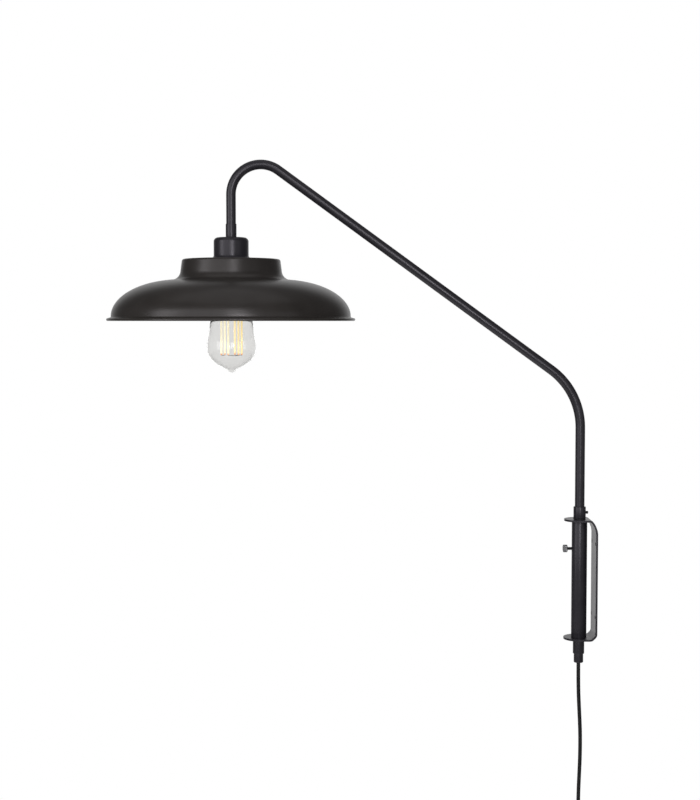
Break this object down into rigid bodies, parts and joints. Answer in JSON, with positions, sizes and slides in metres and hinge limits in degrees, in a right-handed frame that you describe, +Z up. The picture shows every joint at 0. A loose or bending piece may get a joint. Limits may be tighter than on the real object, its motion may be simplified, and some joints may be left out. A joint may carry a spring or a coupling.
{
  "type": "swing-arm wall lamp",
  "caption": "Plug-in wall lamp: a bent bracket holds one bent tube arm that swings about an upright axis and carries a domed metal shade with a clear filament bulb.",
  "frame": {"origin": "middle of the four wall screws, on the bracket's back face", "axes": "+X into the wall, -X into the room along the arm at rest, +Z up along the arm's pivot, +Y across the bracket"},
  "size_m": [0.6356, 0.3216, 1.0848],
  "materials": {
    "frame_black": "fine-grained semi-matt powder coat",
    "shade_black": "matt black paint over a spun shell",
    "steel": "satin",
    "brass": "plain sheet",
    "black_plastic": "moulded",
    "bush_plastic": "moulded bearing plastic",
    "cord_black": "smooth flexible sheath",
    "switch_plastic": "moulded, bare of marks",
    "pin_metal": "plated",
    "clear_glass": "clear",
    "cap_metal": "rolled sheet",
    "black_glass": "vitreous",
    "filament": "phosphor-coated sticks",
    "wire": "drawn wire"
  },
  "bodies": {
    "bracket": {"wall_bracket": "frame_black", "pivot_sleeve": "frame_black", "upper_bush": "bush_plastic", "lower_bush": "bush_plastic", "upper_washer": "steel", "lower_washer": "steel", "hanging_cord": "cord_black", "cord_coil": "cord_black", "cord_tie": "cord_black", "cord_tail": "cord_black", "plug_tail": "cord_black", "switch_base": "switch_plastic", "switch_cover": "switch_plastic", "switch_boot_top": "switch_plastic", "switch_boot_foot": "switch_plastic", "plug_body": "switch_plastic", "plug_pins": "pin_metal", "plug_boot": "switch_plastic"},
    "arm": {"arm_tube": "frame_black", "inner_flex": "cord_black", "stop_collar": "frame_black", "collar_set_screw": "steel", "end_collar": "frame_black", "grip_nut": "frame_black", "grip_seal": "cord_black", "arm_ferrule": "frame_black", "threaded_nipple": "steel", "lock_nut": "steel", "lampholder_cup": "frame_black", "lampholder_skirt": "black_plastic", "lampholder_insert": "black_plastic", "screw_shell": "brass", "centre_contact": "brass", "terminal_screws": "steel", "shade": "shade_black", "shade_ring": "black_plastic"},
    "bulb": {"bulb_glass": "clear_glass", "bulb_cap": "cap_metal", "bulb_insulator": "black_glass", "bulb_contact": "cap_metal", "bulb_stem": "clear_glass", "filament_sticks": "filament", "filament_wires": "wire"},
    "thumb_screw": {"thumb_screw_shank": "frame_black", "thumb_screw_head": "steel"},
    "rocker": {"switch_rocker": "switch_plastic"}
  },
  "joints": [
    {"name": "arm_swing", "type": "hinge", "parent": "bracket", "child": "arm", "pos_m": [-0.0213, 0, 0], "axis": [0, 0, 1], "range_deg": [-70, 70]},
    {"name": "bulb_out", "type": "slide", "parent": "arm", "child": "bulb", "axis": [0, 0, -1], "range_m": [0, 0.035]},
    {"name": "thumb_screw_turn", "type": "hinge", "parent": "bracket", "child": "thumb_screw", "pos_m": [-0.0213, 0, 0.04], "axis": [-1, 0, 0], "range_deg": [0, 720]},
    {"name": "rocker_tilt", "type": "hinge", "parent": "bracket", "child": "rocker", "pos_m": [-0.0439, -0.02225, -0.41007], "axis": [0, -1, 0], "range_deg": [0, 16]}
  ]
}
